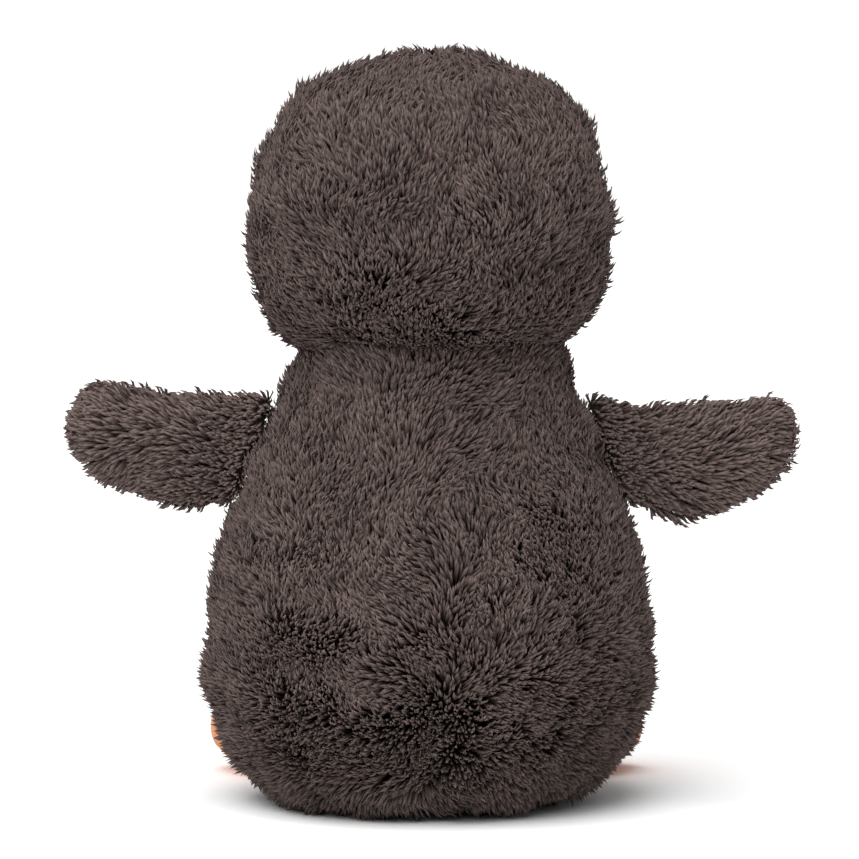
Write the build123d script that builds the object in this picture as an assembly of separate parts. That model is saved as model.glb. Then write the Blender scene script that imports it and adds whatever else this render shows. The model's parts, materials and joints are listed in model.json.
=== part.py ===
"""A sitting plush penguin as sewn pieces: pile cloth panels, fibre filling, a bean bag, eyes, beak and feet.

Millimetres, +Z up, standing on z = 0, looking along -Y, so its own left side is +X.
A pile cloth panel is a solid as thick as its backing and pile together.
"""

import os
from math import asin, atan, cos, degrees, pi, radians, sin, sqrt, tan

from build123d import *

# ---- driving sizes -------------------------------------------------------------------------------
# cloth and clearances
pile_cloth = 8.0  # backing and pile of the long pile cloth
short_cloth = 2.0  # backing and nap of the short cloth on the feet and beak
filling_gap = 0.3  # between cloth and filling, and between a part and its pocket
swing_gap = 0.4  # between soft pieces that move on each other

# body, a round pear with a flat underside
base_half_width = 44.0  # flat underside
bulge_half_width = 68.0
bulge_height = 48.0
shoulder_height = 73.5  # where the bulge's upright and the straight flank would meet
neck_half_width = 41.7
neck_height = 139.0
base_seam_height = 9.0  # top edge of the base panel
side_seam_top_y = 1.0  # side seam's place at the neck
side_seam_foot_y = 30.0  # and at the floor, further back
belly_half_width = 43.0  # pale belly panel
belly_bottom = 16.0
belly_top_margin = 8.0  # pale panel's top below the neck

# head, a ball below its middle and a little squarer above
head_radius = 55.4
crown_power = 2.25  # 2 is round, more is squarer
head_seam_y = 8.0  # back panels behind it
mask_lobe_radius = 21.0  # pale face: two lobes over a wide oval
mask_lobe_offset = 17.5
mask_lobe_drop = -7.0  # lobe centres above (-) the head's centre
mask_half_width = 38.0
mask_half_height = 25.0
mask_chin_drop = 2.53  # oval's lower edge below the neck

# neck wad, between the head's ball and the body's seat
neck_wad_thickness = 4.0
neck_wad_angle = 20.0  # half angle seen from the head's centre

# eyes
eye_radius = 4.6
eye_height = 4.4
eye_sink = 4.2  # eye's back below the pile's tips
eye_turn = 19.0  # each side of the middle, degrees
eye_lift = 7.0  # above the head's middle, degrees
eye_post_radius = 1.6
eye_post_length = 13.0
eye_post_clearance = 0.05
eye_washer_radius = 5.5
eye_washer_thickness = 1.2

# beak, a blunt half egg
beak_half_width = 12.5
beak_half_height = 8.0
beak_length = 23.0  # from its seam
beak_seam_depth = 5.5  # seam below the pile's tips
beak_drop = 8.0  # below the head's centre

# wings, flat padded flippers on the side seams
wing_length = 49.6  # from the seam's middle to the tip
wing_half_height = 20.5
wing_half_thickness = 10.5
wing_root_radius = 4.5  # rolled seam that the wing swings on
wing_drop = 28.8  # seam's middle below the neck
wing_pad_half_length = 18.0  # filling between the two cloths
wing_pad_half_height = 11.5
# share of the length, drop of the middle and half height as shares of wing_half_height, thickness share
wing_stations = [
    (0.00, 0.08, 1.00, 0.42),
    (0.14, 0.27, 1.00, 0.74),
    (0.40, 0.44, 0.90, 1.00),
    (0.68, 0.56, 0.76, 0.93),
    (0.88, 0.50, 0.50, 0.66),
]
wing_tip_drop = 0.42  # of wing_half_height

# feet, tall cushions that splay outwards
foot_length = 46.0
foot_half_width = 21.5
foot_height = 31.0
foot_splay = 35.0  # from straight ahead, degrees
foot_root_radius = 6.0  # rolled seam that the foot lifts on
foot_sole_flat = 1.0  # how much the sole is pressed flat
# share of the length, half width share, top as a share of foot_height
foot_stations = [
    (0.00, 0.62, 0.42),
    (0.22, 0.86, 0.60),
    (0.50, 1.00, 0.93),
    (0.75, 0.92, 0.98),
    (0.92, 0.62, 0.86),
]

# bean bag in the seat
bag_half_width = 36.0
bag_height = 24.0
bag_cloth = 1.0
bag_floor_gap = 1.0  # above the base panel

# ---- places that follow from the sizes -----------------------------------------------------------
head_height = neck_height + sqrt(head_radius**2 - neck_half_width**2)
flank_slope = atan((bulge_half_width - neck_half_width) / (neck_height - shoulder_height))
room = 4 * (bulge_half_width + head_height)  # larger than the whole toy


def slab(x=(-room, room), y=(-room, room), z=(-room, room)):
    """A box between the limits given, and unlimited along the rest."""
    size = [high - low for low, high in (x, y, z)]
    middle = [(high + low) / 2 for low, high in (x, y, z)]
    return Pos(*middle) * Box(*size)


def pill(half_width, half_height):
    """A flattened ball, round from above."""
    return scale(Sphere(1), by=(half_width, half_width, half_height))


def facing_front(height):
    """An upright plane through the axis, its own Y up and its normal forwards."""
    return Plane(origin=(0, 0, height), x_dir=(1, 0, 0), z_dir=(0, -1, 0))


def pair(name, left):
    """A left piece and its mirrored right one."""
    return {name + "_left": left, name + "_right": mirror(left, about=Plane.YZ)}


# ---- body ----------------------------------------------------------------------------------------
def arc_above_base():
    """Radius of the bulge's lower arc, which is upright at the bulge and ends at the flat underside."""
    reach = bulge_half_width - base_half_width
    return (reach**2 + bulge_height**2) / (2 * reach)


def arc_below_flank():
    """Radius of the bulge's upper arc, which is upright at the bulge and runs into the flank."""
    return (shoulder_height - bulge_height) / tan(flank_slope / 2)


def pear(inset):
    """The body's form, its surface moved inwards by inset; closed over the head's seat."""
    top = neck_height + head_radius / 3
    low_radius = arc_above_base()
    low_centre = (bulge_half_width - low_radius, bulge_height)
    high_radius = arc_below_flank()
    high_centre = (bulge_half_width - high_radius, bulge_height)
    sunk = degrees(asin((bulge_height - inset) / (low_radius - inset)))
    low_arc = CenterArc(low_centre, low_radius - inset, -sunk, sunk)
    high_arc = CenterArc(high_centre, high_radius - inset, 0, degrees(flank_slope))
    flank_top = neck_half_width - inset / cos(flank_slope) - (top - neck_height) * tan(flank_slope)
    rest = Polyline(high_arc @ 1, (flank_top, top), (0, top), (0, inset), low_arc @ 0)
    return revolve(Plane.XZ * make_face(low_arc + high_arc + rest), Axis.Z)


def seat(radius):
    """The ball that is scooped out of the body's top for the head."""
    return Pos(0, 0, head_height) * Sphere(radius)


def side_seam_back():
    """Everything behind the side seams, a plane that leans back towards the floor."""
    lean = degrees(atan((side_seam_foot_y - side_seam_top_y) / neck_height))
    return Pos(0, side_seam_foot_y, 0) * Rot(X=lean) * Pos(0, room / 2, 0) * Box(room, room, room)


def belly_outline():
    half_height = (neck_height - belly_top_margin - belly_bottom) / 2
    oval = Ellipse(belly_half_width, half_height)
    return extrude(facing_front(belly_bottom + half_height) * oval, room / 2)


def body_parts():
    shell = pear(0) - pear(pile_cloth) - seat(head_radius + swing_gap)
    base = shell & slab(z=(-room, base_seam_height))
    wall = shell & slab(z=(base_seam_height, room))
    left = wall & slab(x=(0, room))
    filling = pear(pile_cloth + filling_gap) - seat(head_radius + wad_reach()) - bag_form(-filling_gap)
    return {
        **pair("back_panel", left & side_seam_back()),
        **pair("side_panel", left - side_seam_back() - belly_outline()),
        "belly_panel": (wall - side_seam_back()) & belly_outline(),
        "base_panel": base,
        "body_filling": filling,
        "bean_bag": bag_form(0) - bag_form(bag_cloth),
        "bean_fill": bag_form(bag_cloth + filling_gap),
    }


def bag_form(inset):
    """The bean bag's flattened form, its surface moved inwards by inset."""
    low = pile_cloth + filling_gap + bag_floor_gap
    return Pos(0, 0, low + bag_height / 2) * pill(bag_half_width - inset, bag_height / 2 - inset)


# ---- neck ----------------------------------------------------------------------------------------
def wad_reach():
    """Depth of the seat below the head's ball, with the wad in it."""
    return swing_gap + neck_wad_thickness + swing_gap


def neck_wad():
    shell = seat(head_radius + swing_gap + neck_wad_thickness) - seat(head_radius + swing_gap)
    half_angle = radians(neck_wad_angle)
    depth = head_radius + wad_reach()
    cone = Pos(0, 0, head_height - depth / 2) * Cone(depth * sin(half_angle) / cos(half_angle), 0, depth)
    return shell & cone


# ---- head ----------------------------------------------------------------------------------------
def head_form(radius):
    """A ball up to its middle, and a squarer crown above."""
    exponent = 2 / crown_power
    crown_points = [
        (radius * cos(t) ** exponent, radius * sin(t) ** exponent)
        for t in (k * pi / 12 for k in range(1, 6))
    ]
    crown = Spline((radius, 0), *crown_points, (0, radius), tangents=[(0, 1), (-1, 0)])
    ball = CenterArc((0, 0), radius, -90, 90)
    spine = Line((0, -radius), (0, radius))
    turned = revolve(Plane.XZ * make_face(crown + ball + spine), Axis.Z)
    return Pos(0, 0, head_height) * turned


def mask_outline():
    """The pale face's outline, run through the front of the head."""
    mask_drop = head_height - (neck_height - mask_chin_drop) - mask_half_height
    lobes = [
        Pos(side * mask_lobe_offset, -mask_lobe_drop) * Circle(mask_lobe_radius)
        for side in (-1, 1)
    ]
    outline = lobes[0] + lobes[1] + Pos(0, -mask_drop) * Ellipse(mask_half_width, mask_half_height)
    return extrude(facing_front(head_height) * outline, room / 2)


def eye_place(side):
    """A plane at the head's centre that looks out through one eye."""
    turn, lift = radians(side * eye_turn), radians(eye_lift)
    out = (sin(turn) * cos(lift), -cos(turn) * cos(lift), sin(lift))
    return Plane(origin=(0, 0, head_height), z_dir=out)


def eye_back():
    """Distance from the head's centre to the eye's flat back."""
    return head_radius - eye_sink


def washer_back():
    """Distance from the head's centre to the inner face of the washer, whose rim meets the cloth."""
    cloth = head_radius - pile_cloth - filling_gap
    return sqrt(cloth**2 - eye_washer_radius**2) - eye_washer_thickness


def along(low, high, radius):
    """A round bar on the local Z axis between two heights."""
    return Pos(0, 0, (low + high) / 2) * Cylinder(radius, high - low)


def eye(side):
    dome = Pos(0, 0, eye_back()) * (
        scale(Sphere(1), by=(eye_radius, eye_radius, eye_height)) & slab(z=(0, room))
    )
    post = along(eye_back() - eye_post_length, eye_back() + eye_height / 4, eye_post_radius)
    return eye_place(side) * (dome + post)


def eye_washer(side):
    ring = along(washer_back(), washer_back() + eye_washer_thickness, eye_washer_radius)
    hole = along(0, head_radius, eye_post_radius + eye_post_clearance)
    return eye_place(side) * (ring - hole)


def eye_pocket(side):
    """Room for one eye, its post and its washer in the cloth and the filling."""
    dome = along(eye_back() - filling_gap, head_radius + eye_height, eye_radius + filling_gap)
    post = along(eye_back() - eye_post_length - filling_gap, eye_back(), eye_post_radius + filling_gap)
    washer = along(
        washer_back() - filling_gap, head_radius - pile_cloth, eye_washer_radius + filling_gap
    )
    return eye_place(side) * (dome + post + washer)


def beak_form(inset):
    """Half an egg lying on its side, its tip forwards, its surface moved inwards by inset."""
    egg = scale(
        Sphere(1),
        by=(beak_half_width - inset, beak_length - inset, beak_half_height - inset),
    )
    seam = -(head_radius - beak_seam_depth)
    placed = Pos(0, seam, head_height - beak_drop) * egg
    return placed & slab(y=(-room, seam - max(inset, 0)))


def beak_parts():
    cover = beak_form(0) - beak_form(short_cloth)
    middle = head_height - beak_drop
    return {
        "beak_upper": cover & slab(z=(middle, room)),
        "beak_lower": cover & slab(z=(-room, middle)),
        "beak_filling": beak_form(short_cloth + filling_gap),
    }


def head_parts():
    pockets = [eye_pocket(side) for side in (-1, 1)]
    shell = head_form(head_radius) - head_form(head_radius - pile_cloth)
    front = shell & slab(y=(-room, head_seam_y))
    left = shell & slab(x=(0, room))
    beak_room = beak_form(-filling_gap) + beak_form(-filling_gap).moved(Pos(0, filling_gap, 0))
    mask = (front & mask_outline()) - pockets[0] - pockets[1] - beak_room
    filling = head_form(head_radius - pile_cloth - filling_gap) - pockets[0] - pockets[1]
    return {
        **pair("head_back", left & slab(y=(head_seam_y, room))),
        **pair("head_side", (left & slab(y=(-room, head_seam_y))) - mask_outline()),
        "face_panel": mask,
        "head_filling": filling,
        **pair("eye", eye(1)),
        **pair("eye_washer", eye_washer(1)),
        **beak_parts(),
    }


# ---- wings ---------------------------------------------------------------------------------------
def wing_hinge():
    """The middle of the left wing's rolled seam, clear of the flank: x and z."""
    clear = (wing_root_radius + swing_gap) / cos(flank_slope)
    return neck_half_width + wing_drop * tan(flank_slope) + clear, neck_height - wing_drop


def wing_frame():
    """Local X runs out along the left wing, Y to the toy's back and Z up its seam."""
    x, z = wing_hinge()
    out = (cos(flank_slope), 0, sin(flank_slope))
    return Plane(origin=(x, 0, z), x_dir=out, z_dir=(-sin(flank_slope), 0, cos(flank_slope)))


def wing_solid():
    """The flipper lofted through its stations to a point, with the roll along its root."""
    sections = []
    for share, drop, height, thickness in wing_stations:
        place = Plane(
            origin=(wing_length * share, 0, -wing_half_height * drop), x_dir=(0, 1, 0), z_dir=(1, 0, 0)
        )
        oval = place * Ellipse(wing_half_thickness * thickness, wing_half_height * height)
        sections.append(oval.face())
    tip = Vertex(wing_length, 0, -wing_half_height * wing_tip_drop)
    return loft([*sections, tip]) + Cylinder(wing_root_radius, 2 * wing_half_height)


def wing_pad(inset):
    """The filling's lens, its surface moved inwards by inset."""
    share, drop = wing_stations[2][:2]
    middle = Pos(wing_length * (share + 0.12), 0, -wing_half_height * (drop + 0.05))
    size = (wing_pad_half_length, wing_half_thickness - pile_cloth, wing_pad_half_height)
    return middle * scale(Sphere(1), by=tuple(half - inset for half in size))


def wing_parts():
    cover = wing_solid() - wing_pad(0)
    pieces = {
        "wing_back": cover & slab(y=(0, room)),
        "wing_front": cover & slab(y=(-room, 0)),
        "wing_filling": wing_pad(filling_gap),
    }
    made = {}
    for name, piece in pieces.items():
        made.update(pair(name, wing_frame() * piece))
    return made


# ---- feet ----------------------------------------------------------------------------------------
def foot_hinge():
    """The middle of the left foot's rolled seam, clear of the bulge: x, y and z."""
    clear = arc_above_base() + foot_root_radius + swing_gap
    drop = bulge_height - foot_root_radius
    out = bulge_half_width - arc_above_base() + sqrt(clear**2 - drop**2)
    return out * sin(radians(foot_splay)), -out * cos(radians(foot_splay)), foot_root_radius


def foot_frame():
    """Local X runs out along the left foot and Z up from the floor."""
    x, y, _ = foot_hinge()
    splay = radians(foot_splay)
    return Plane(origin=(x, y, 0), x_dir=(sin(splay), -cos(splay), 0), z_dir=(0, 0, 1))


def foot_sections(inset):
    """The foot's upright ovals, pressed into the floor by foot_sole_flat, moved inwards by inset."""
    sections = []
    for share, width, top in foot_stations:
        half_height = (foot_height * top + foot_sole_flat) / 2
        place = Plane(
            origin=(foot_length * share, 0, foot_height * top - half_height),
            x_dir=(0, 1, 0),
            z_dir=(1, 0, 0),
        )
        sections.append(place * Ellipse(foot_half_width * width - inset, half_height - inset))
    return sections


def foot_parts():
    tip = Vertex(foot_length, 0, foot_height * foot_stations[-1][2] / 2)
    above_floor = slab(z=(0, room))
    loft_out = loft([*(s.face() for s in foot_sections(0)), tip])
    roll_length = 2 * foot_half_width * foot_stations[0][1]
    roll = Pos(0, 0, foot_root_radius) * Rot(X=90) * Cylinder(foot_root_radius, roll_length)
    solid = (loft_out + roll) & above_floor
    inner_limit = slab(x=(short_cloth, room), z=(short_cloth, room))
    hollow = loft([s.face() for s in foot_sections(short_cloth)]) & inner_limit
    inner = short_cloth + filling_gap
    filling_limit = slab(x=(inner, room), z=(inner, room))
    filling = loft([s.face() for s in foot_sections(inner)]) & filling_limit
    cover = solid - hollow
    sole_seam = foot_root_radius
    pieces = {
        "foot_top": cover & slab(z=(sole_seam, room)),
        "foot_sole": cover & slab(z=(-room, sole_seam)),
        "foot_filling": filling,
    }
    made = {}
    for name, piece in pieces.items():
        made.update(pair(name, foot_frame() * piece))
    return made


# ---- write ---------------------------------------------------------------------------------------
def main():
    os.makedirs("parts", exist_ok=True)
    nodes = {**body_parts(), "neck_wad": neck_wad(), **head_parts(), **wing_parts(), **foot_parts()}
    for name, shape in nodes.items():
        export_step(shape, f"parts/{name}.step")
    print("head centre", round(head_height, 3))
    print("flank slope", round(degrees(flank_slope), 4))
    print("wing hinge", [round(v, 4) for v in wing_hinge()])
    print("foot hinge", [round(v, 4) for v in foot_hinge()])


main()
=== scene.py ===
import json
import math

import bmesh
import bpy
import numpy as np
from mathutils import Matrix, Vector


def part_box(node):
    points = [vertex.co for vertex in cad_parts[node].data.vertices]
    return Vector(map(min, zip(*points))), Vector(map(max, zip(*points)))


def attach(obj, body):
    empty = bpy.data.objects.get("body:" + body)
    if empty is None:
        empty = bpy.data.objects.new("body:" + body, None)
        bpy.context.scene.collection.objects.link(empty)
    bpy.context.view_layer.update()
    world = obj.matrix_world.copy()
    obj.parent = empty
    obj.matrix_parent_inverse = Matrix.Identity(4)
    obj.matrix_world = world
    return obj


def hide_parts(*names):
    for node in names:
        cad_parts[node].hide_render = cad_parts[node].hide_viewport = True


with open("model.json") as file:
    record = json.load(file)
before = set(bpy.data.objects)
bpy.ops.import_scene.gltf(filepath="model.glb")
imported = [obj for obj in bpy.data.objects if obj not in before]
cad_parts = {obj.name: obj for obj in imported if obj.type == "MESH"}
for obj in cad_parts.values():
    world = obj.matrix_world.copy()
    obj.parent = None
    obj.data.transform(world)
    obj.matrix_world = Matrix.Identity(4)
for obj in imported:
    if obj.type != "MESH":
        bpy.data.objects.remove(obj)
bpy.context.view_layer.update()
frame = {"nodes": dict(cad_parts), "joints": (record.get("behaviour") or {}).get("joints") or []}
nodes = frame["nodes"]
joints = {joint["name"]: joint for joint in frame["joints"]}
mm = 0.001
sides = (("left", 1), ("right", -1))

# ---- body ----------------------------------------------------------------------------------------
# A pear of long pile cloth: two back panels with a seam down the middle, a side panel under each
# wing, a pale belly and a round base, stuffed hard with loose fibre over a bag of pellets. The cloth
# is pulled in along every seam and puffs out between them.

pile_cloth = 8 * mm  # backing and pile together
backing_depth = 5 * mm  # the backing below the pile's tips
backing = 1 * mm  # the backing's own thickness
side_seam_top = 1 * mm
side_seam_foot = 30 * mm
neck_rim_height = 139 * mm
base_seam = 9 * mm
belly_half_width = 43 * mm
belly_low = 16 * mm
belly_high = 131 * mm
far_off = 60 * mm  # said where no seam is near


def piece_from(name, shape):
    """A new object in the scene from a finished shape."""
    mesh = bpy.data.meshes.new(name)
    shape.to_mesh(mesh)
    shape.free()
    piece = bpy.data.objects.new(name, mesh)
    bpy.context.scene.collection.objects.link(piece)
    return piece


def cad_form(name, node_name):
    """A new object with the outer shape of a frame node."""
    shape = bmesh.new()
    shape.from_mesh(nodes[node_name].data)
    bmesh.ops.remove_doubles(shape, verts=shape.verts, dist=0.01 * mm)
    return piece_from(name, shape)


def even_out(form, voxel):
    """One even closed skin over the form."""
    remesh = form.modifiers.new("even", "REMESH")
    remesh.mode = "VOXEL"
    remesh.voxel_size = voxel
    remesh.use_smooth_shade = True
    smooth = form.modifiers.new("soften", "SMOOTH")
    smooth.iterations = 3
    smooth.factor = 0.5
    graph = bpy.context.evaluated_depsgraph_get()
    mesh = bpy.data.meshes.new_from_object(form.evaluated_get(graph))
    form.modifiers.clear()
    old = form.data
    form.data = mesh
    bpy.data.meshes.remove(old)


def places(mesh):
    found = np.empty(len(mesh.vertices) * 3, np.float32)
    mesh.vertices.foreach_get("co", found)
    return found.reshape(-1, 3).astype(float)


def normals_of(mesh):
    found = np.empty(len(mesh.vertices) * 3, np.float32)
    mesh.vertex_normals.foreach_get("vector", found)
    return found.reshape(-1, 3).astype(float)


def move_to(mesh, spots):
    mesh.vertices.foreach_set("co", spots.astype(np.float32).ravel())
    mesh.update()


def blown_up(form, held):
    """Where the cloth lies after some frames of pressure inside it, with its seams held."""
    last_frame = 14
    group = form.vertex_groups.new(name="sewn")
    for index in np.flatnonzero(held > 0.05):
        group.add([int(index)], float(held[index]), "REPLACE")
    cloth = form.modifiers.new("cloth", "CLOTH")
    settings = cloth.settings
    settings.vertex_group_mass = "sewn"
    settings.use_pressure = True
    settings.uniform_pressure_force = 4.0
    settings.effector_weights.gravity = 0
    settings.quality = 4
    settings.tension_stiffness = 12
    settings.compression_stiffness = 12
    settings.bending_stiffness = 2
    cloth.collision_settings.use_collision = False
    cloth.collision_settings.use_self_collision = False
    cloth.point_cache.frame_start = 1
    cloth.point_cache.frame_end = last_frame
    for step in range(1, last_frame + 1):
        bpy.context.scene.frame_set(step)
    graph = bpy.context.evaluated_depsgraph_get()
    spots = places(form.evaluated_get(graph).to_mesh())
    form.evaluated_get(graph).to_mesh_clear()
    form.modifiers.clear()
    form.vertex_groups.clear()
    bpy.context.scene.frame_set(1)
    return spots


def stuff(form, swell, puff, seam_gap):
    """Pulls the form in to its seams, then lets the stuffing push the cloth out between them."""
    seam_reach = 2.5 * mm  # how far from a seam its stitches hold the cloth in
    solver_share, plain_share = 0.3, 0.7  # of the way out
    mesh = form.data
    held = np.exp(-((seam_gap(places(mesh)) / seam_reach) ** 2))
    move_to(mesh, places(mesh) + normals_of(mesh) * (swell - puff))
    start = places(mesh)
    out = normals_of(mesh)
    blown = blown_up(form, held) - start
    far = np.linalg.norm(blown, axis=1)
    blown *= (np.minimum(far, puff) / np.maximum(far, 1e-9))[:, None]
    outward = (blown * out).sum(1)
    move = out * (solver_share * outward + plain_share * puff * (1 - held))[:, None]
    move_to(mesh, start + move)


def least(*ways):
    """The least of some distances, point by point; positive where all of them are."""
    return np.minimum.reduce(ways)


side_lean = math.atan((side_seam_foot - side_seam_top) / neck_rim_height)


def behind_side_seam(p):
    return (p[:, 1] - side_seam_foot) * math.cos(side_lean) + p[:, 2] * math.sin(side_lean)


def outside_belly(p):
    middle = (belly_low + belly_high) / 2
    half = (belly_high - belly_low) / 2
    reach = np.hypot(p[:, 0] / belly_half_width, (p[:, 2] - middle) / half)
    return np.where(p[:, 1] < 0, (reach - 1) * belly_half_width, far_off)


def body_seams(p):
    """Distance to the nearest seam."""
    down_middle = np.where(outside_belly(p) > 0, np.abs(p[:, 0]), far_off)
    at_side, round_belly = np.abs(behind_side_seam(p)), np.abs(outside_belly(p))
    return least(down_middle, at_side, round_belly, np.abs(p[:, 2] - base_seam))


base_half_width = 44 * mm
bulge_half_width = 68 * mm
bulge_height = 48 * mm
shoulder_height = 73.5 * mm
neck_half_width = 41.7 * mm
flank_slope = math.atan((bulge_half_width - neck_half_width) / (neck_rim_height - shoulder_height))


def pear(name, inset):
    """The body's form, spun from its half outline; the head's ball covers its top."""
    low_steps, high_steps, round_steps = 14, 8, 96
    reach = bulge_half_width - base_half_width
    low_radius = (reach**2 + bulge_height**2) / (2 * reach)
    high_radius = (shoulder_height - bulge_height) / math.tan(flank_slope / 2)
    sunk = math.asin((bulge_height - inset) / (low_radius - inset))
    turns = [(low_radius, -sunk + sunk * k / low_steps) for k in range(low_steps)]
    turns += [(high_radius, flank_slope * k / high_steps) for k in range(high_steps + 1)]
    outline = [Vector((0, 0, inset))]
    for radius, turn in turns:
        x = bulge_half_width - radius + (radius - inset) * math.cos(turn)
        outline.append(Vector((x, 0, bulge_height + (radius - inset) * math.sin(turn))))
    neck = Vector((neck_half_width - inset / math.cos(flank_slope), 0, neck_rim_height))
    outline += [outline[-1].lerp(neck, 0.5), neck, Vector((0, 0, neck_rim_height))]
    shape = bmesh.new()
    corners = [shape.verts.new(spot) for spot in outline]
    edges = [shape.edges.new(pair) for pair in zip(corners, corners[1:])]
    bmesh.ops.spin(
        shape, geom=corners + edges, cent=(0, 0, 0), axis=(0, 0, 1),
        angle=2 * math.pi, steps=round_steps, use_merge=True,
    )
    bmesh.ops.remove_doubles(shape, verts=shape.verts, dist=0.01 * mm)
    bmesh.ops.recalc_face_normals(shape, faces=shape.faces)
    return piece_from(name, shape)


big_voxel = 3 * mm
big_puff = 1.6 * mm
body_form = pear("body_form", pile_cloth)
even_out(body_form, big_voxel)
stuff(body_form, pile_cloth - backing_depth, big_puff, body_seams)


class Socket:
    """A shader value that can be reckoned with."""

    def __init__(self, tree, socket):
        self.tree = tree
        self.socket = socket

    def node(self, kind, settings=None, **values):
        made = self.tree.nodes.new(kind)
        for key, value in (settings or {}).items():
            if key == "stops":
                ramp = made.color_ramp
                while len(ramp.elements) < len(value):
                    ramp.elements.new(0.5)
                for stop, (at, colour) in zip(ramp.elements, value):
                    stop.position = at
                    stop.color = (*colour, 1)
            else:
                setattr(made, key, value)
        for key, value in values.items():
            numbered = key[0] == "i" and key[1:].isdigit()
            into = made.inputs[int(key[1:]) if numbered else key.replace("_", " ")]
            if isinstance(value, Socket):
                self.tree.links.new(value.socket, into)
            else:
                into.default_value = value
        return made

    def out(self, kind, settings=None, output=0, **values):
        return Socket(self.tree, self.node(kind, settings, **values).outputs[output])

    def maths(self, operation, *values):
        inputs = {f"i{k}": value for k, value in enumerate(values)}
        return self.out("ShaderNodeMath", {"operation": operation}, **inputs)

    def __add__(self, other):
        return self.maths("ADD", self, other)

    def __radd__(self, other):
        return self.maths("ADD", other, self)

    def __mul__(self, other):
        return self.maths("MULTIPLY", self, other)

    def __rmul__(self, other):
        return self.maths("MULTIPLY", other, self)


def new_material(name, **values):
    """A material with its shader's plain values set, and a socket to reckon from."""
    material = bpy.data.materials.new(name)
    material.use_nodes = True
    tree = material.node_tree
    shader = tree.nodes["Principled BSDF"]
    for key, value in values.items():
        shader.inputs[key.replace("_", " ")].default_value = value
    return material, Socket(tree, None), shader


def feed(start, shader, **values):
    for key, value in values.items():
        start.tree.links.new(value.socket, shader.inputs[key.replace("_", " ")])


def pile_finish(name, root, middle, tip, spread):
    """Pile that is darker toward its root, as painted shade deep in the pile between the tufts, and pale at
    its tips. U holds a tuft's own tone, V the way along it.
    """
    material, start, shader = new_material(
        name, Roughness=0.85, Specular_IOR_Level=0.18, Sheen_Weight=0.25, Sheen_Roughness=0.45
    )
    shader.inputs["Sheen Tint"].default_value = (*tip, 1)
    uv = start.out("ShaderNodeUVMap", {"uv_map": "OFBake"})
    parts = start.node("ShaderNodeSeparateXYZ", Vector=uv)
    shade = Socket(start.tree, parts.outputs[0])
    along = Socket(start.tree, parts.outputs[1])
    # the first stop, at the root, is painted shade deep between the tufts
    stops = [(0.0, root), (0.45, middle), (1.0, tip)]
    colour = start.out("ShaderNodeValToRGB", {"stops": stops}, Fac=along)
    factor = (1 - spread) + shade * (2 * spread)
    tinted = start.out("ShaderNodeVectorMath", {"operation": "SCALE"}, i0=colour, Scale=factor)
    feed(start, shader, Base_Color=tinted)
    return material


# each pile's first colour is painted shade at the roots, between the tufts; the others are the cloth's
# colours
dark_pile = pile_finish(
    "dark_pile", (0.027, 0.0175, 0.0145), (0.059, 0.041, 0.036), (0.13, 0.096, 0.087), spread=0.5
)
pale_pile = pile_finish(
    "pale_pile", (0.78, 0.73, 0.65), (0.86, 0.82, 0.75), (0.93, 0.905, 0.86), spread=0.1
)


def waves(seed, length, count=7):
    """Smooth seeded noise, about -1 to 1, with features about this long."""
    dice = np.random.default_rng(seed)
    ways = dice.normal(size=(count, 3))
    ways /= np.linalg.norm(ways, axis=1)[:, None]
    ways *= (2 * math.pi / length * dice.uniform(0.6, 1.5, count))[:, None]
    turns = dice.uniform(0, 2 * math.pi, count)
    return lambda p: np.sin(p @ ways.T + turns).sum(1) / math.sqrt(count / 2) * 0.7


def spike():
    """One tuft: a long three-sided point, thin at its root and fullest a little below its tip."""
    fullest_at, fuller = 0.84, 6.6
    shape = bmesh.new()
    bmesh.ops.create_cone(shape, cap_ends=True, segments=3, radius1=1, radius2=0, depth=1)
    bmesh.ops.translate(shape, verts=shape.verts, vec=(0, 0, 0.5))
    bmesh.ops.remove_doubles(shape, verts=shape.verts, dist=1e-4)
    cut = shape.verts[:] + shape.edges[:] + shape.faces[:]
    bmesh.ops.bisect_plane(shape, geom=cut, plane_co=(0, 0, fullest_at), plane_no=(0, 0, 1))
    for corner in shape.verts:
        if abs(corner.co.z - fullest_at) < 0.01:
            corner.co.x *= fuller
            corner.co.y *= fuller
    bmesh.ops.recalc_face_normals(shape, faces=shape.faces)
    shape.verts.index_update()
    spots = np.array([corner.co for corner in shape.verts])
    faces = [[corner.index for corner in face.verts] for face in shape.faces]
    shape.free()
    return spots, faces


spike_spots, spike_faces = spike()


def unit(ways):
    """The same ways, each of length 1."""
    return ways / np.maximum(np.linalg.norm(ways, axis=1), 1e-9)[:, None]


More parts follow.
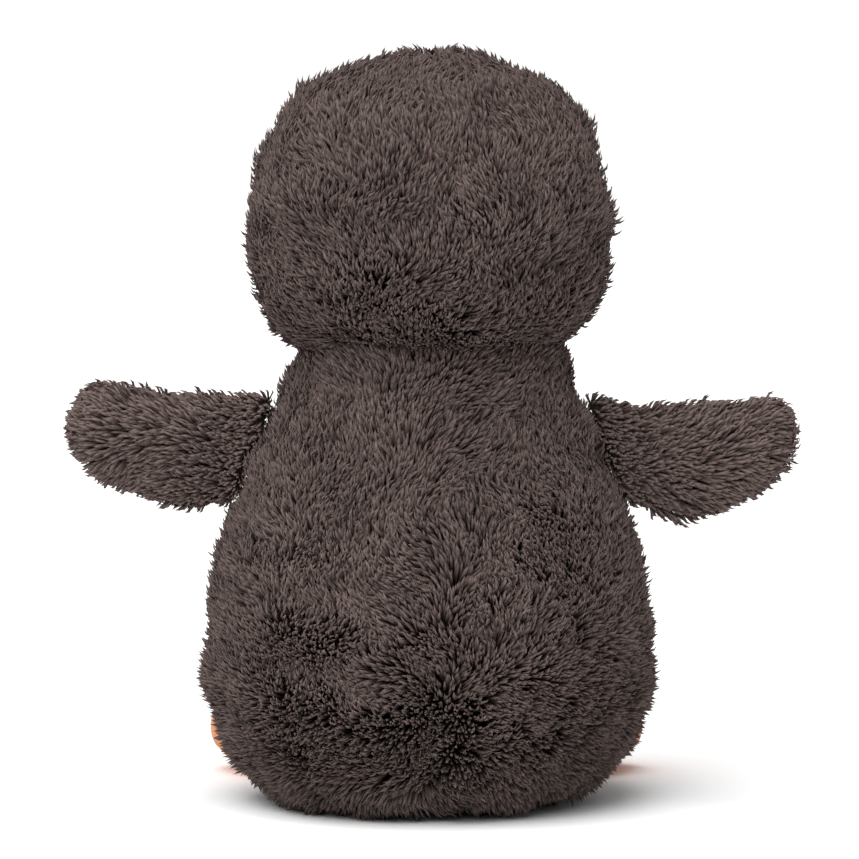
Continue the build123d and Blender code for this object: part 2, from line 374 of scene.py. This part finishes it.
def scatter(mesh, spacing, seed):
    """Roots spread evenly over a mesh: their places and the way out of the cloth at each."""
    dice = np.random.default_rng(seed)
    mesh.calc_loop_triangles()
    tris = np.empty(len(mesh.loop_triangles) * 3, np.int32)
    mesh.loop_triangles.foreach_get("vertices", tris)
    tris = tris.reshape(-1, 3)
    spots = places(mesh)
    outs = normals_of(mesh)
    a, b, c = (spots[tris[:, k]] for k in range(3))
    area = np.linalg.norm(np.cross(b - a, c - a), axis=1) / 2
    tries_a_cell = 5
    count = int(area.sum() / spacing**2 * tries_a_cell)
    chosen = dice.choice(len(tris), count, p=area / area.sum())
    u, v = dice.random(count), dice.random(count)
    u, v = np.where(u + v > 1, 1 - u, u), np.where(u + v > 1, 1 - v, v)
    weights = np.stack([1 - u - v, u, v], 1)[:, :, None]
    corners = tris[chosen]
    root = (spots[corners] * weights).sum(1)
    out = unit((outs[corners] * weights).sum(1))
    # one root is kept in every cell of a cubic grid
    cell = np.floor(root / spacing + dice.random(3)).astype(np.int64)
    key = cell @ np.array([73856093, 19349663, 83492791])
    kept = np.sort(np.unique(key, return_index=True)[1])
    return root[kept], out[kept]


def lay_map(mesh, uv):
    layer = mesh.uv_layers.new(name="OFBake")
    layer.uv.foreach_set("vector", uv.astype(np.float32).ravel())


def grow(skin, material, root, out, nap, length, lean, tone, seed):
    """Tufts of pile on a panel: each is one spike that leans along the nap and bends over it."""
    dice = np.random.default_rng(seed)
    count = len(root)
    across = unit(np.cross(nap, out))
    nap = np.cross(out, across)
    turn = dice.normal(0, 0.26, count)
    nap = nap * np.cos(turn)[:, None] + across * np.sin(turn)[:, None]
    lean = lean + dice.normal(0, 0.16, count)
    length = length * dice.uniform(0.80, 1.12, count)
    shade = np.clip(0.5 + dice.normal(0, 0.13, count) + tone, 0.03, 0.97)

    def leaning(angle, reach):
        return root + (out * np.cos(angle)[:, None] + nap * np.sin(angle)[:, None]) * reach[:, None]

    # a tuft starts inside the backing and bends half way up
    dice.random(3 * count)  # these draws are passed over
    stray = dice.normal(0, 0.22 * mm, (count, 3))
    start = root - out * 0.5 * mm
    middle = leaning(lean * 0.55, 0.5 * length) + stray * 0.5
    end = leaning(lean, length) + stray
    wide = 0.47 * mm * dice.uniform(0.75, 1.3, count)
    t = spike_spots[:, 2]
    bend = np.stack([(1 - t) ** 2, 2 * t * (1 - t), t**2], 1)
    control = np.stack([start, 2 * middle - (start + end) / 2, end], 1)
    line = np.einsum("vk,nkc->nvc", bend, control)
    facing = unit(end - start)
    side = unit(np.cross(facing, out))
    top = np.cross(side, facing)
    twist = dice.uniform(0, 2 * math.pi, count)[:, None]
    x = (spike_spots[None, :, 0] * np.cos(twist) - spike_spots[None, :, 1] * np.sin(twist)) * wide[:, None]
    y = (spike_spots[None, :, 0] * np.sin(twist) + spike_spots[None, :, 1] * np.cos(twist)) * wide[:, None]
    flatness = 0.7
    spots = line + side[:, None] * x[:, :, None] + top[:, None] * (y * flatness)[:, :, None]
    spots[:, :, 2] = np.maximum(spots[:, :, 2], 0.15 * mm)  # none reaches into the floor

    sizes = np.array([len(face) for face in spike_faces])
    ring = np.concatenate([np.array(face) for face in spike_faces])
    corners = (ring[None] + np.arange(count)[:, None] * len(spike_spots)).ravel()
    loops = np.tile(sizes, count)
    mesh = bpy.data.meshes.new("tufts")
    mesh.vertices.add(count * len(spike_spots))
    mesh.vertices.foreach_set("co", spots.astype(np.float32).ravel())
    mesh.loops.add(len(corners))
    mesh.loops.foreach_set("vertex_index", corners.astype(np.int32))
    mesh.polygons.add(len(loops))
    mesh.polygons.foreach_set("loop_start", (np.cumsum(loops) - loops).astype(np.int32))
    mesh.polygons.foreach_set("use_smooth", np.ones(len(loops), bool))
    mesh.update(calc_edges=True)

    # the map: U is the tuft's shade, V the way along it
    slant = np.arctan2(spike_spots[:, 1], spike_spots[:, 0]) / math.pi * 0.006
    u = np.clip(shade + dice.normal(0, 0.09, count), 0.02, 0.98)
    at_root = np.repeat([max(t[face]) < 0.01 for face in spike_faces], sizes)
    v = np.where(at_root, 0.01 + 0.02 * (spike_spots[ring, 0] > 0), 0.03 + 0.94 * t[ring])
    lay_map(mesh, np.stack(np.broadcast_arrays(u[:, None] + slant[ring][None], v[None]), 2))
    mesh.materials.append(material)
    coat = bpy.data.objects.new("tufts", mesh)
    bpy.context.scene.collection.objects.link(coat)

    # the backing takes a dark strip of the same map: painted shade, where it lies under the pile
    base = skin.data
    base.materials.clear()
    base.materials.append(material)
    spots = places(base)
    low, high = spots.min(0), spots.max(0)
    corner = np.empty(len(base.loops), np.int32)
    base.loops.foreach_get("vertex_index", corner)
    share = ((spots - low) / (high - low))[corner]
    lay_map(base, np.stack([0.3 + 0.3 * share[:, 0], 0.002 + 0.012 * share[:, 2]], 1))
    bpy.ops.object.select_all(action="DESELECT")
    coat.select_set(True)
    skin.select_set(True)
    bpy.context.view_layer.objects.active = skin
    bpy.ops.object.join()


def patch(form, name, inside, planes):
    """The cloth backing of one panel, the part of the form where inside() is positive, and its outer face."""
    shape = bmesh.new()
    shape.from_mesh(form.data)
    for spot, way in planes:
        cut = shape.verts[:] + shape.edges[:] + shape.faces[:]
        bmesh.ops.bisect_plane(shape, geom=cut, plane_co=spot, plane_no=way)
    centres = np.array([face.calc_center_median() for face in shape.faces])
    drop = [face for face, stays in zip(shape.faces[:], inside(centres) > 0) if not stays]
    bmesh.ops.delete(shape, geom=drop, context="FACES")
    outer = bpy.data.meshes.new(name + "_outer")
    shape.to_mesh(outer)
    bmesh.ops.solidify(shape, geom=shape.faces[:], thickness=backing)
    panel = piece_from(name, shape)
    panel.data.polygons.foreach_set("use_smooth", np.ones(len(panel.data.polygons), bool))
    return panel, outer


swirl = waves(3, 70 * mm)
small_swirl = waves(4, 22 * mm)
ruffle = waves(5, 14 * mm)


def turned(nap, out, angle):
    """The nap laid along the cloth's surface and turned in it."""
    along = unit(nap - out * (nap * out).sum(1)[:, None])
    across = np.cross(out, along)
    return along * np.cos(angle)[:, None] + across * np.sin(angle)[:, None]


def ramp(way, length):
    """0 where the way is negative, 1 from this length on."""
    return np.clip(way / length, 0, 1)


def below(p, height):
    return height - p[:, 2]


def right_flank(p):
    """1 on the right side low down, where the pile is brushed up more."""
    return ramp(-p[:, 0], 40 * mm) * ramp(below(p, 100 * mm), 50 * mm)


def body_nap(p, out):
    """Brushed up, fanning out from the middle seam, in slow swirls, and down at the floor."""
    aside = 0.32 * np.clip(p[:, 0] / (16 * mm), -1, 1)
    upward = np.clip((p[:, 2] - 16 * mm) / (9 * mm), -1, 1)
    tousled = (0.25 + 0.5 * right_flank(p)) * ruffle(p * 1.5)
    way = np.stack([aside, 0 * aside, upward], 1)
    return turned(way, out, 0.5 * swirl(p) + 0.45 * small_swirl(p) + tousled)


def belly_nap(p, out):
    """Brushed down."""
    down = np.tile([0, 0, -1.0], (len(p), 1))
    return turned(down, out, 0.35 * swirl(p) + 0.4 * small_swirl(p))


def body_trim(p):
    """The pile is pressed short at the neck, bushes out low down, and is short over the right foot."""
    neck = ramp(below(p, neck_rim_height), 10 * mm)
    low = ramp(below(p, 46 * mm), 20 * mm)
    foot = ramp(below(p, 34 * mm), 16 * mm) * ramp(-8 * mm - p[:, 0], 24 * mm)
    return 1.0 - 0.05 * neck + 0.19 * low - 0.08 * right_flank(p) - 0.18 * foot


def body_lift(p):
    """The pile stands more upright low down, at the neck and on the right flank."""
    low = ramp(below(p, 68 * mm), 40 * mm)
    neck = np.clip(1 - below(p, neck_rim_height) / (9 * mm), 0, 1)
    flank = right_flank(p)
    return 0.04 - 0.46 * low - 0.25 * neck - flank * (0.26 - 0.16 * ruffle(p * 1.9 + 0.1))


def fur_panel(
    name, form, inside, planes, nap, seams, body, stands_for, seed, material=dark_pile,
    length=9 * mm, spacing=0.88 * mm, lean=0.9, paler=0.0, shorter=None, lift=None,
):
    """One panel of pile cloth: backing and tufts, riding on its body."""
    panel, outer = patch(form, name + "_pile", inside, planes)
    root, out = scatter(outer, spacing, seed)
    bpy.data.meshes.remove(outer)
    near_seam = np.exp(-((seams(root) / (4 * mm)) ** 2))
    reach = length * (1 - 0.08 * near_seam) * (1 + 0.10 * ruffle(root))
    stand = lean + 0.22 * small_swirl(root + 50 * mm)
    if shorter:
        reach = reach * shorter(root)
    if lift:
        stand = stand + lift(root)
    # a panel's paler tone all over is painted light; the rest of its tone varies at random
    tone = paler + 0.07 * swirl(root * 1.7) + 0.05 * ruffle(root * 1.3)
    grow(panel, material, root, out, nap(root, out), reach, stand, tone, seed + 100)
    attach(panel, body)
    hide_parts(*stands_for)


middle_cut = ((0, 0, 0), (1, 0, 0))
side_cut = ((0, side_seam_foot, 0), (0, math.cos(side_lean), math.sin(side_lean)))
base_cut = ((0, 0, base_seam), (0, 0, 1))
head_middle = np.array(joints["neck_nod"]["pos_m"])
seat_radius = 51 * mm


def above_base(p):
    return p[:, 2] - base_seam


def outside_seat(p):
    """Not on the hollow that the head sits in."""
    return np.linalg.norm(p - head_middle, axis=1) - seat_radius


for side, sign in sides:
    for panel_name, seam_side, seed in (("back_panel_", 1, 10), ("side_panel_", -1, 12)):
        fur_panel(
            panel_name + side, body_form,
            lambda p: least(
                sign * p[:, 0], seam_side * behind_side_seam(p), above_base(p), outside_seat(p),
                outside_belly(p),
            ),
            (middle_cut, side_cut, base_cut), body_nap, body_seams, "body", [panel_name + side],
            seed + (sign < 0), shorter=body_trim, lift=body_lift,
        )
fur_panel(
    "belly_panel", body_form, lambda p: least(-outside_belly(p), above_base(p), outside_seat(p)),
    (base_cut,), belly_nap, body_seams, "body", ["belly_panel", "body_filling"],
    14, material=pale_pile, length=8 * mm, spacing=0.98 * mm,
)
fur_panel(
    "base_panel", body_form, lambda p: -above_base(p),
    (base_cut,), body_nap, body_seams, "body", ["base_panel"],
    15, length=7 * mm, spacing=1.2 * mm, lean=0.8,
)

# ---- head ----------------------------------------------------------------------------------------
# A ball of the same cloth: two back panels with a seam over the crown, two side panels and a pale
# face, stuffed with loose fibre and sewn down on the neck.

head_seam = 8 * mm
mask_lobe = 21 * mm
mask_apart = 17.5 * mm
mask_lobe_up = 7 * mm
mask_half_width = 38 * mm
mask_half_height = 25 * mm
mask_drop = 14 * mm


def outside_mask(p):
    """The pale face is two round lobes over the eyes and an oval below them."""
    x, z = np.abs(p[:, 0]), p[:, 2] - head_middle[2]
    lobes = np.hypot(x - mask_apart, z - mask_lobe_up) - mask_lobe
    oval = (np.hypot(x / mask_half_width, (z + mask_drop) / mask_half_height) - 1) * mask_half_height
    return np.where(p[:, 1] < 0, np.minimum(lobes, oval), far_off)


def head_seams(p):
    down_middle = np.where(outside_mask(p) > 0, np.abs(p[:, 0]), far_off)
    return least(down_middle, np.abs(p[:, 1] - head_seam), np.abs(outside_mask(p)))


def above_neck(p):
    return p[:, 2] - neck_rim_height - 0.5 * mm


def head_nap(p, out):
    """Brushed up to the seam over the crown, in slow swirls, and sideways just above the neck."""
    x = p[:, 0]
    crown = ramp(p[:, 2] - head_middle[2] - 20 * mm, 20 * mm)
    aside = 0.15 * (1 - crown) * np.tanh(x / (5 * mm)) * np.exp(-np.abs(x) / (16 * mm))
    low = np.exp(-((above_neck(p) / (9 * mm)) ** 2)) * np.tanh((x + 6 * mm) / (14 * mm))
    way = np.stack([aside + 1.3 * low, 0 * x, np.ones(len(p))], 1)
    return turned(way, out, 0.4 * swirl(p + 0.3) + 0.4 * small_swirl(p) + 0.2 * ruffle(p * 1.5))


def head_trim(p):
    """The pile is pressed short just above the neck, unevenly."""
    close = 1 - ramp(above_neck(p), 9 * mm)
    return 1 - close * (0.72 - 0.18 * ruffle(p * 2.2))


def head_lift(p):
    """The pile stands up over the crown, and out over the neck."""
    crown = ramp(p[:, 2] - head_middle[2] - 26 * mm, 16 * mm)
    on_seam = np.exp(-np.hypot(p[:, 0], p[:, 1] - head_seam) / (14 * mm))
    close = 1 - ramp(above_neck(p), 11 * mm)
    return 0.12 - 0.3 * crown * on_seam - 0.1 * close


def face_nap(p, out):
    """Combed out and down from between the eyes."""
    way = np.stack([p[:, 0] / (20 * mm), 0 * p[:, 0], -0.9 - 0 * p[:, 0]], 1)
    return turned(way, out, 0.3 * small_swirl(p))


head_form = cad_form("head_form", "head_filling")
even_out(head_form, big_voxel)
stuff(head_form, 8.8 * mm - backing_depth, big_puff, head_seams)
# the filling fills out the top corners, the right one most, and the head is drawn in at the neck
spots = places(head_form.data)
high = np.exp(-(((spots[:, 2] - head_middle[2] - 40 * mm) / (13 * mm)) ** 2))
wide = ramp(np.abs(spots[:, 0]), 30 * mm) ** 2 * np.where(spots[:, 0] < 0, 3.2 * mm, 1.4 * mm)
spots[:, 0] += np.sign(spots[:, 0]) * high * wide
spots[:, :2] *= 1 - 0.06 * ramp(below(spots, neck_rim_height + 15 * mm), 15 * mm)[:, None]
move_to(head_form.data, spots)
tucked_in = 13 * mm
head_cut = ((0, head_seam, 0), (0, 1, 0))
neck_cut = ((0, 0, neck_rim_height - tucked_in), (0, 0, 1))


def above_tuck(p):
    """The cloth goes on into the hollow of the neck, so that it stays shut when the head nods."""
    return p[:, 2] - neck_rim_height + tucked_in


for side, sign in sides:
    for panel_name, seam_side, seed in (("head_back_", 1, 20), ("head_side_", -1, 22)):
        fur_panel(
            panel_name + side, head_form,
            lambda p: least(
                sign * p[:, 0], seam_side * (p[:, 1] - head_seam), above_tuck(p), outside_mask(p)
            ),
            (middle_cut, head_cut, neck_cut), head_nap, head_seams, "head", [panel_name + side],
            seed + (sign < 0), shorter=head_trim, lift=head_lift,
        )

eye_apart = 16.8 * mm
eye_ahead = 48 * mm
eye_up = 6.5 * mm
eye_radius = 5 * mm
beak_radius = 8 * mm
beak_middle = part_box("beak_upper")[0][2]


def face_trim(p):
    """Shorter pile on the face, clipped close round the eyes and the beak and over the neck."""
    full, at_eye, at_beak = 0.62, 0.22, 0.3
    growing = 8 * mm
    short = np.minimum(full, at_beak + 0.32 * ramp(above_neck(p), 4 * mm))
    for _, sign in sides:
        eye = np.array([sign * eye_apart, -eye_ahead, head_middle[2] + eye_up])
        from_eye = np.linalg.norm(p - eye, axis=1) - eye_radius
        short = np.minimum(short, at_eye + 0.4 * ramp(from_eye, growing))
    from_beak = np.hypot(p[:, 0] / 1.4, p[:, 2] - beak_middle) - beak_radius
    return np.minimum(short, at_beak + 0.32 * ramp(from_beak, growing))


fur_panel(
    "face_panel", head_form, lambda p: least(-outside_mask(p), above_tuck(p)),
    (neck_cut,), face_nap, head_seams, "head", ["face_panel", "head_filling"],
    24, material=pale_pile, spacing=0.98 * mm, shorter=face_trim,
)

# ---- wings ---------------------------------------------------------------------------------------
# Flat flippers of the same cloth, back and front, sewn round the edge, turned and lightly stuffed.
# Each is sewn into the side of the body along a slanted seam, and swings on it.

# in mm: way out from the seam, middle above the seam's, half thickness, half height
wing_sections = [
    (-4.0, 0.6, 2.4, 17.6),
    (0.0, -0.6, 2.4, 17.8),
    (6.0, -4.4, 3.4, 17.0),
    (15.0, -7.2, 5.3, 15.2),
    (24.0, -9.0, 5.8, 13.8),
    (33.0, -10.2, 5.4, 12.2),
    (39.5, -9.4, 4.6, 10.4),
    (44.5, -8.2, 3.6, 8.2),
    (48.6, -7.0, 2.2, 5.0),
]
# the right one hangs a little lower and reaches a little further: what is added to the sections past
# the seam, what is added near the tip, and how much longer the wing is
wing_hang = {
    "left": ((0, 0.3, 0, -0.7), (0, -0.6, 0, 1.5), 1),
    "right": ((0, -3.9, 0, -0.4), (0, -0.2, 0, -1.2), 1.03),
}


def bridge_sections(name, place, sections):
    """A closed skin through upright ovals, each given by its way along, middle, and half width and height."""
    shape = bmesh.new()
    rings = []
    for along, up, half_width, half_height in sections:
        made = bmesh.ops.create_circle(shape, segments=32, radius=1)
        upright = Matrix.Translation((along, 0, up)) @ Matrix.Rotation(math.pi / 2, 4, "Y")
        bmesh.ops.transform(
            shape, verts=made["verts"], matrix=upright @ Matrix.Diagonal((half_height, half_width, 1, 1))
        )
        rings.append(list({edge for corner in made["verts"] for edge in corner.link_edges}))
    for near, far in zip(rings, rings[1:]):
        bmesh.ops.bridge_loops(shape, edges=near + far)
    bmesh.ops.holes_fill(shape, edges=[edge for edge in shape.edges if edge.is_boundary])
    bmesh.ops.transform(shape, verts=shape.verts, matrix=place)
    bmesh.ops.recalc_face_normals(shape, faces=shape.faces)
    return piece_from(name, shape)


edge_cut = ((0, 0, 0), (0, 1, 0))
small_voxel = 1.6 * mm
for side, sign in sides:
    swing = joints[side + "_wing_swing"]
    up = Vector(swing["axis"]).normalized() * -sign
    away = Vector((sign * abs(up.z), 0, abs(up.x)))
    place = Matrix.Translation(Vector(swing["pos_m"])) @ Matrix((
        (away.x, 0, up.x, 0), (0, 1, 0, 0), (away.z, 0, up.z, 0), (0, 0, 0, 1),
    ))
    droop, tip, longer = wing_hang[side]
    sections = [
        np.array(section) * mm * (longer, 1, 1, 1)
        + np.array(droop) * mm * ramp(section[0] + 4, 10)
        + np.array(tip) * mm * ramp(section[0] - 22, 18)
        for section in wing_sections
    ]
    wing_form = bridge_sections("wing_form_" + side, place, sections)
    even_out(wing_form, small_voxel)
    to_wing = np.array(place.inverted())

    def in_wing(p):
        """Way out from the seam, ahead or behind, and up along the seam."""
        return p @ to_wing[:3, :3].T + to_wing[:3, 3]

    def wing_seams(p):
        return np.abs(p[:, 1]) + np.where(in_wing(p)[:, 0] < 8 * mm, far_off, 0)

    def wing_nap(p, out):
        """Combed out to the tip, fanning up and down from its middle, but not up at its root."""
        local = in_wing(p)
        fan = np.clip((local[:, 2] + 7 * mm) / (16 * mm), -1, 1)
        fan = np.where(fan > 0, fan * ramp(local[:, 0], 16 * mm), fan)
        outward = np.tile(np.array(away) + (0, 0, -0.15), (len(p), 1))
        upward = turned(np.tile([0, 0, 1.0], (len(p), 1)), out, np.zeros(len(p)))
        combed = turned(outward, out, 0.2 * swirl(p * 1.3) + 0.2 * small_swirl(p))
        return combed + 0.55 * fan[:, None] * upward

    def wing_trim(p):
        """The pile is full over the flipper, and shorter along the root's seam and at the tip."""
        along = in_wing(p)[:, 0]
        at_root = np.clip(0.42 + along / (17 * mm), 0.42, 1)
        at_tip = np.clip(1.35 - np.maximum(along - 34 * mm, 0) / (24 * mm), 0.72, 1)
        return at_root * at_tip

    stuff(wing_form, 0.4 * mm, 0.8 * mm, wing_seams)
    # the wings' pile is made paler than the body's: painted light on their upturned, lying pile
    for face, way, filling in (("back", 1, [f"wing_filling_{side}"]), ("front", -1, [])):
        fur_panel(
            f"wing_{face}_{side}", wing_form, lambda p: way * p[:, 1],
            (edge_cut,), wing_nap, wing_seams, side + "_wing", [f"wing_{face}_{side}"] + filling,
            30 + (sign > 0) * 2 + (way > 0), lean=1.3, paler=0.4, shorter=wing_trim,
        )
    bpy.data.objects.remove(wing_form)

bpy.data.objects.remove(body_form)
bpy.data.objects.remove(head_form)

# ---- feet and beak -------------------------------------------------------------------------------
# Cushions of short orange cloth. Each foot is a top and a sole sewn round the edge, with two rows of
# stitches drawn in for the toes, and lifts on the seam where it joins the body. The beak is two
# halves sewn to a point round a pinch of filling.

object_place = 3  # the texture coordinate node's output for places on the object


def short_cloth(name, pale, deep):
    material, start, shader = new_material(
        name, Roughness=0.92, Specular_IOR_Level=0.15, Sheen_Weight=0.3, Sheen_Roughness=0.4
    )
    spot = start.out("ShaderNodeTexCoord", output=object_place)
    nap = start.out("ShaderNodeTexNoise", Vector=spot, Scale=900.0, Detail=3.0, Roughness=0.6)
    blot = start.out("ShaderNodeTexNoise", Vector=spot, Scale=120.0, Detail=2.0)
    mixed = 0.55 * nap + 0.45 * blot
    colour = start.out("ShaderNodeValToRGB", {"stops": [(0.3, deep), (0.7, pale)]}, Fac=mixed)
    bump = start.out("ShaderNodeBump", Strength=0.6, Distance=0.0006, Height=nap + 0.5 * blot)
    feed(start, shader, Base_Color=colour, Normal=bump)
    return material


orange_cloth = short_cloth("orange_cloth", (0.80, 0.30, 0.10), (0.52, 0.15, 0.045))


def cloth_pair(form, upper, lower, seam_height, body, filling):
    """The upper and lower cloth of a small cushion, sewn together at this height."""
    seam_cut = ((0, 0, seam_height), (0, 0, 1))
    for name, way, inner in ((upper, 1, [filling]), (lower, -1, [])):
        panel, outer = patch(form, name + "_cloth", lambda p: way * (p[:, 2] - seam_height), (seam_cut,))
        bpy.data.meshes.remove(outer)
        panel.data.materials.append(orange_cloth)
        rounder = panel.modifiers.new("round", "SUBSURF")
        rounder.levels = 1
        rounder.render_levels = 1
        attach(panel, body)
        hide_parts(name, *inner)


sole_seam = 6 * mm
heel_open = 3 * mm
toes_from = 26 * mm
toe_apart = 6.5 * mm
for side, sign in sides:
    foot_form = cad_form("foot_form", "foot_filling_" + side)
    even_out(foot_form, small_voxel)
    foot_lift = joints[side + "_foot_lift"]
    hinge = np.array(foot_lift["pos_m"])
    ahead = np.array([sign * abs(foot_lift["axis"][1]), -abs(foot_lift["axis"][0]), 0])
    across = np.array([-ahead[1], ahead[0], 0])

    def foot_seams(p):
        local_across = (p - hinge) @ across
        local_ahead = (p - hinge) @ ahead
        rows = np.minimum(np.abs(local_across - toe_apart), np.abs(local_across + toe_apart))
        toes = np.where(local_ahead > toes_from, rows, far_off)
        return np.minimum(np.where(local_ahead > heel_open, np.abs(p[:, 2] - sole_seam), far_off), toes)

    stuff(foot_form, 1.9 * mm, 1.2 * mm, foot_seams)
    spots = places(foot_form.data)
    spots[:, 2] = np.maximum(spots[:, 2], 0.1 * mm)  # flat where it rests
    move_to(foot_form.data, spots)
    cloth_pair(
        foot_form, "foot_top_" + side, "foot_sole_" + side, sole_seam, side + "_foot", "foot_filling_" + side
    )
    bpy.data.objects.remove(foot_form)

beak_form = cad_form("beak_form", "beak_filling")
even_out(beak_form, 1.0 * mm)
stuff(beak_form, 1.9 * mm, 0.7 * mm, lambda p: np.abs(p[:, 2] - beak_middle))
cloth_pair(beak_form, "beak_upper", "beak_lower", beak_middle, "head", "beak_filling")
bpy.data.objects.remove(beak_form)

# ---- eyes and inner pieces -----------------------------------------------------------------------
# Moulded black domes with a post each, locked by a washer inside the head. The neck's wad, the bag
# and its pellets are never seen.


def mottled(start, shader, deep, pale, pale_from=0.7, bump=None, **noise):
    """Gives a shader two mottled tones, and a bump of the same noise with this strength and depth."""
    spot = start.out("ShaderNodeTexCoord", output=object_place)
    mottle = start.out("ShaderNodeTexNoise", Vector=spot, **noise)
    colour = start.out("ShaderNodeValToRGB", {"stops": [(0.3, deep), (pale_from, pale)]}, Fac=mottle)
    feed(start, shader, Base_Color=colour)
    if bump:
        strength, depth = bump
        relief = start.out("ShaderNodeBump", Strength=strength, Distance=depth, Height=mottle)
        feed(start, shader, Normal=relief)
    return mottle


eye_black, start, shader = new_material("eye_black", Roughness=0.06, Coat_Weight=0.6)
scuff = mottled(
    start, shader, (0.006, 0.005, 0.005), (0.012, 0.01, 0.009), pale_from=0.8, Scale=600.0, Detail=3.0
)
feed(start, shader, Roughness=0.04 + 0.06 * scuff)
moulded_white, start, shader = new_material("moulded_white", Roughness=0.5)
mottled(start, shader, (0.6, 0.6, 0.57), (0.75, 0.75, 0.72), Scale=300.0, Detail=3.0)
fibre, start, shader = new_material("fibre", Roughness=0.95)
mottled(
    start, shader, (0.55, 0.55, 0.53), (0.86, 0.86, 0.84), bump=(0.8, 1 * mm),
    Scale=260.0, Detail=6.0, Distortion=1.2,
)
bag_cloth, start, shader = new_material("bag_cloth", Roughness=0.9)
mottled(start, shader, (0.5, 0.48, 0.42), (0.7, 0.68, 0.6), bump=(0.5, 0.3 * mm), Scale=1500.0, Detail=2.0)

finishes = {
    "eye_left": eye_black,
    "eye_right": eye_black,
    "eye_washer_left": moulded_white,
    "eye_washer_right": moulded_white,
    "bean_fill": moulded_white,
    "bean_bag": bag_cloth,
}
for name, node in nodes.items():
    if not node.hide_render:
        node.data.materials.clear()
        node.data.materials.append(finishes.get(name, fibre))

# ---- floor, light and camera ---------------------------------------------------------------------
# A plain white floor and room, a broad light from behind the camera's left shoulder, a second one low
# behind the camera and a faint one from the other side.

floor_white, start, shader = new_material("floor_white", Roughness=0.9, Specular_IOR_Level=0.1)
shader.inputs["Base Color"].default_value = (0.97, 0.97, 0.97, 1)
shape = bmesh.new()
bmesh.ops.create_grid(shape, x_segments=2, y_segments=2, size=6.0)
floor = piece_from("floor", shape)
floor.data.materials.append(floor_white)

light_on_things = 0.28
light_seen = 0.76  # more of it where the room itself is seen
world = bpy.data.worlds.new("studio")
world.use_nodes = True
seen = Socket(world.node_tree, None).out("ShaderNodeLightPath", output=0)
room = world.node_tree.nodes["Background"]
room.inputs["Color"].default_value = (1, 1, 1, 1)
world.node_tree.links.new((seen * light_seen + light_on_things).socket, room.inputs["Strength"])
bpy.context.scene.world = world


def sun(name, ahead, strength, spread):
    light = bpy.data.lights.new(name, "SUN")
    light.energy = strength
    light.angle = math.radians(spread)
    made = bpy.data.objects.new(name, light)
    made.rotation_euler = Vector(ahead).to_track_quat("-Z", "Y").to_euler()
    bpy.context.scene.collection.objects.link(made)


sun("key", (-0.3, -0.42, -1.2), 3.0, 60)
sun("back", (-0.2, -1.0, -0.7), 1.1, 40)
sun("fill", (0.2, 1.0, -0.9), 0.5, 120)

eye_line = math.radians(4.0)
distance = 1.6
aim = Vector((0, 0, 0.1154))
camera = bpy.data.cameras.new("camera")
camera.lens = 216.8
camera.sensor_width = 36
camera.clip_start = 0.01
holder = bpy.data.objects.new("camera", camera)
holder.location = aim + Vector((0.013, math.cos(eye_line), math.sin(eye_line))) * distance
holder.rotation_euler = (aim - holder.location).to_track_quat("-Z", "Y").to_euler()
bpy.context.scene.collection.objects.link(holder)
bpy.context.scene.camera = holder
bpy.context.scene.view_settings.view_transform = "Standard"
